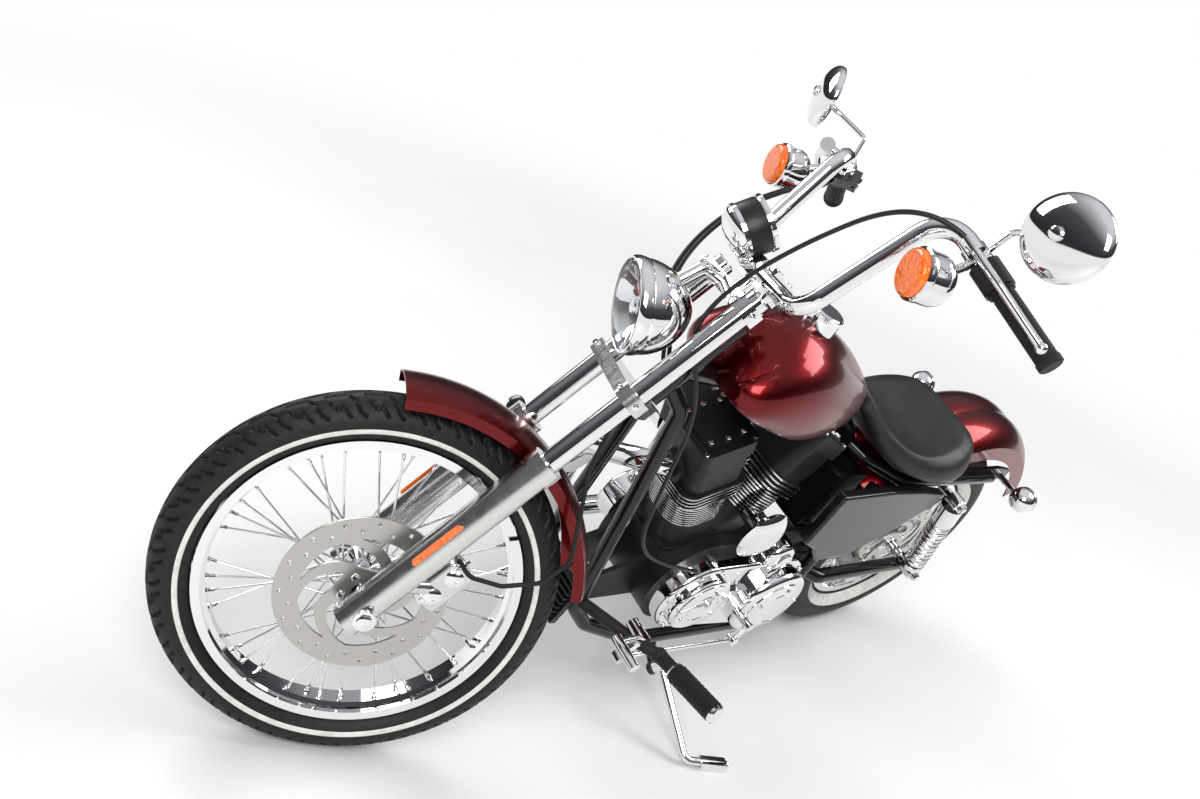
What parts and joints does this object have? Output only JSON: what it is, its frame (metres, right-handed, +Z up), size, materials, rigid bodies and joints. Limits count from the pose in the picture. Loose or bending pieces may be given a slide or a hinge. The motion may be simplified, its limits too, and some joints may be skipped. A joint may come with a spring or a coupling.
{
  "type": "chopper motorcycle",
  "caption": "Air-cooled V-twin chopper motorcycle with spoked wheels, high handlebar, peanut fuel tank and solo seat, leaning on its side stand.",
  "frame": {"origin": "centre of the outline on the ground, at the height where both tyres and the stand's foot touch", "axes": "+X forwards along the bike, +Y to the rider's left, +Z up; the bike leans to the left on its stand with its fork turned right"},
  "size_m": [2.1823, 1.0778, 1.3899],
  "materials": {
    "red_paint": "gloss with fine metal flake",
    "black_paint": "gloss",
    "black_casting": "satin with bare fin edges",
    "chrome": "polished",
    "polished_alloy": "polished",
    "brushed_steel": "ground",
    "tyre": "treaded",
    "rubber": "ribbed",
    "black_plastic": "satin",
    "amber_lens": "moulded",
    "clear_lens": "clear",
    "seat_cover": "smooth stitched cover",
    "belt_rubber": "toothed"
  },
  "bodies": {
    "chassis": {"frame_spine": "black_paint", "frame_loop_left": "black_paint", "frame_loop_right": "black_paint", "frame_rear": "black_paint", "crankcase": "black_casting", "cylinders": "black_casting", "rocker_covers": "black_casting", "primary_cover": "chrome", "gear_cover": "chrome", "pushrod_tubes": "chrome", "air_cleaner": "chrome", "horn": "chrome", "regulator": "black_casting", "exhausts": "chrome", "fuel_tank": "red_paint", "fuel_cap": "chrome", "seat": "seat_cover", "fender_rear": "red_paint", "oil_tank": "black_paint", "side_cover": "black_paint", "swingarm": "black_paint", "axle_rear": "chrome", "shocks": "chrome", "caliper_rear": "polished_alloy", "drive_belt": "belt_rubber", "signals_rear": "chrome", "foot_pegs": "rubber", "foot_levers": "chrome"},
    "fork": {"axle_front": "chrome", "fork_legs": "polished_alloy", "fork_tubes": "chrome", "fork_clamp_lower": "polished_alloy", "bar_clamps": "chrome", "handlebar": "chrome", "grips": "rubber", "switch_housings": "black_plastic", "levers": "chrome", "mirrors": "chrome", "signals_front": "chrome", "signal_lenses_front": "amber_lens", "headlight_shell": "chrome", "headlight_lens": "clear_lens", "speedometer": "chrome", "fender_front": "red_paint", "caliper_front": "polished_alloy", "brake_hose": "rubber", "clutch_cable": "black_plastic", "throttle_cables": "black_plastic"},
    "front_wheel": {"tyre_front": "tyre", "rim_front": "chrome", "hub_front": "chrome", "disc_front": "brushed_steel"},
    "rear_wheel": {"tyre_rear": "tyre", "rim_rear": "chrome", "hub_rear": "chrome", "disc_rear": "brushed_steel", "pulley_rear": "black_casting"},
    "side_stand": {"side_stand": "chrome"}
  },
  "joints": [
    {"name": "steering", "type": "hinge", "parent": "chassis", "child": "fork", "pos_m": [0.738, -0.16412, 0.31401], "axis": [-0.5045, 0.2239, 0.8339], "range_deg": [0, 65], "deforming": ["clutch_cable", "throttle_cables"]},
    {"name": "front_wheel_spin", "type": "hinge", "parent": "fork", "child": "front_wheel", "pos_m": [0.77987, -0.18779, 0.3457], "axis": [0.466, 0.8837, 0.0446], "continuous": true},
    {"name": "rear_wheel_spin", "type": "hinge", "parent": "chassis", "child": "rear_wheel", "pos_m": [-0.73619, -0.16182, 0.31728], "axis": [0.0009, 0.9659, -0.2588], "continuous": true},
    {"name": "side_stand", "type": "hinge", "parent": "chassis", "child": "side_stand", "pos_m": [0.05849, -0.03696, 0.12932], "axis": [-0.137, 0.5999, 0.7882], "range_deg": [0, 79]}
  ]
}
